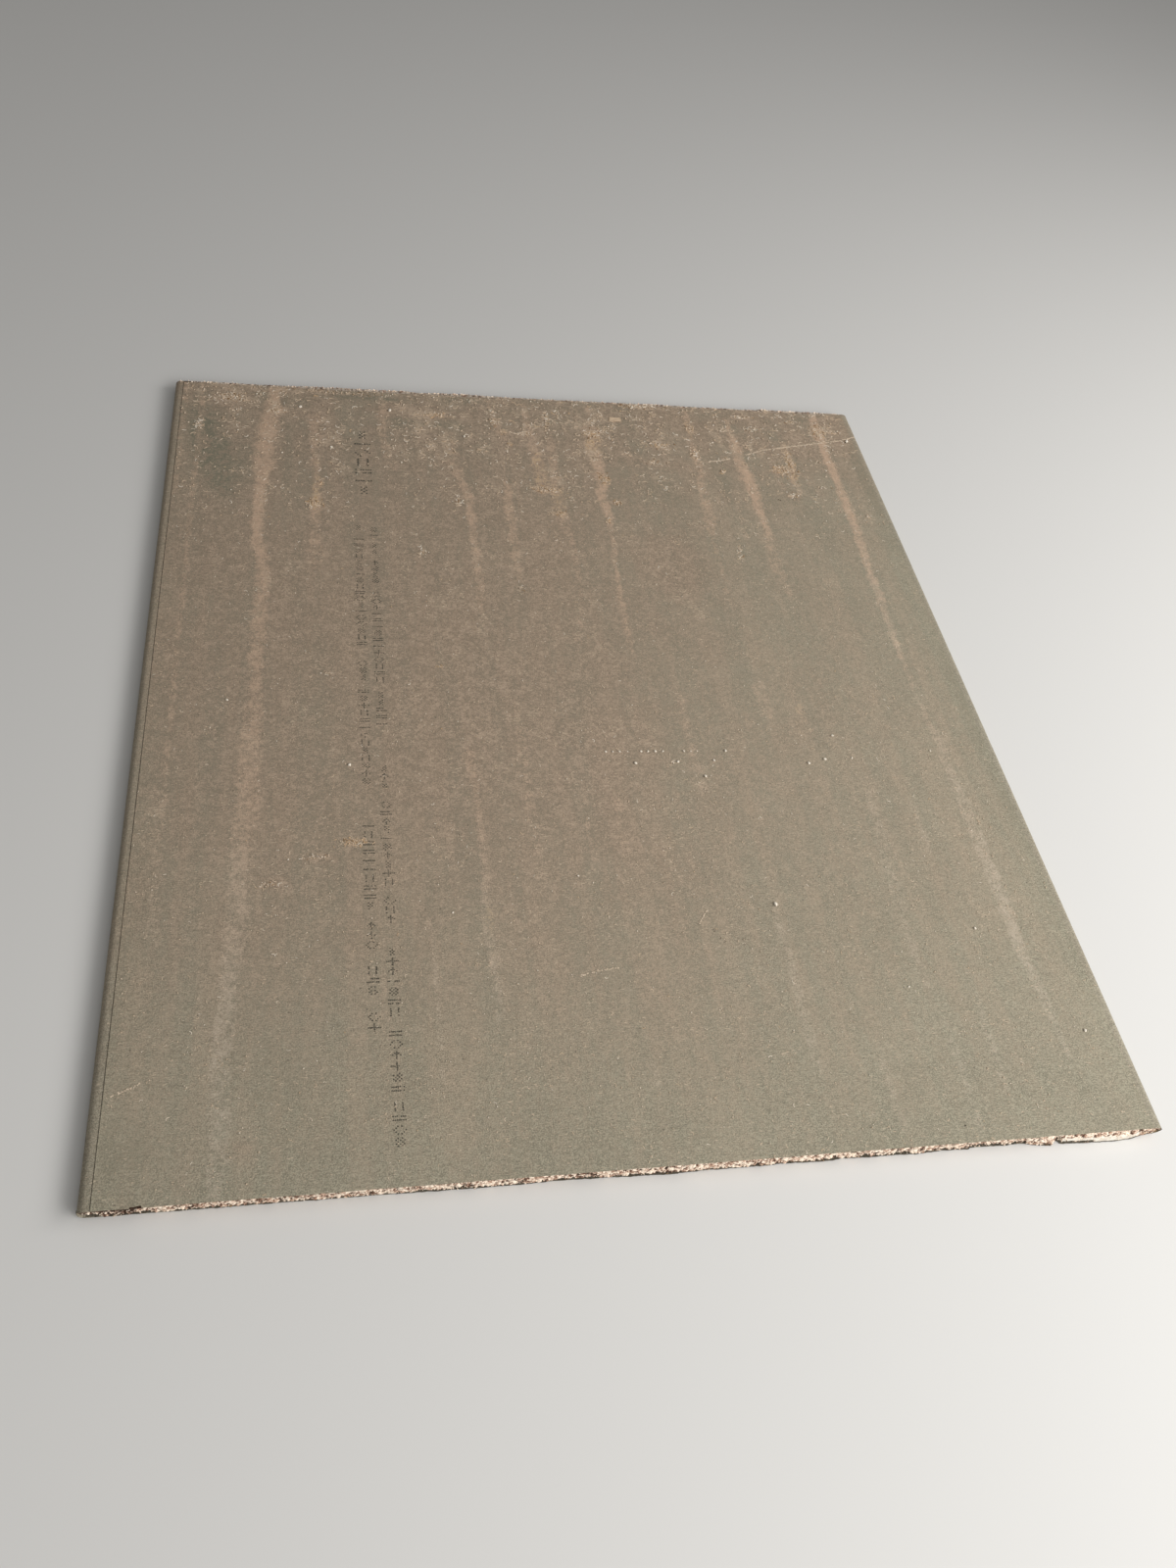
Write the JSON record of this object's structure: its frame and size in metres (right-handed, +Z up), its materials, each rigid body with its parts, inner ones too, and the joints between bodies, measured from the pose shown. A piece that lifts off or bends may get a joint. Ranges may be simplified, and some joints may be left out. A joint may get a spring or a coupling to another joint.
{
  "type": "drywall sheet",
  "caption": "Flat rectangular drywall sheet: gypsum core in grey-green paper that wraps its rounded long edges, with snapped, ragged short ends.",
  "frame": {"origin": "middle of the underside, between the two knife cuts and the two long edges", "axes": "+X across the board's width, +Y along its length to the far end in the picture, +Z up out of the back, which the picture shows"},
  "size_m": [0.6, 0.7052, 0.0095],
  "materials": {
    "gypsum": "crumbly matt, broken",
    "face_paper": "matt green liner paper",
    "back_paper": "matt grey-green liner paper, dusty"
  },
  "bodies": {
    "root": {"gypsum_core": "gypsum", "face_liner": "face_paper", "back_liner": "back_paper"}
  },
  "joints": []
}
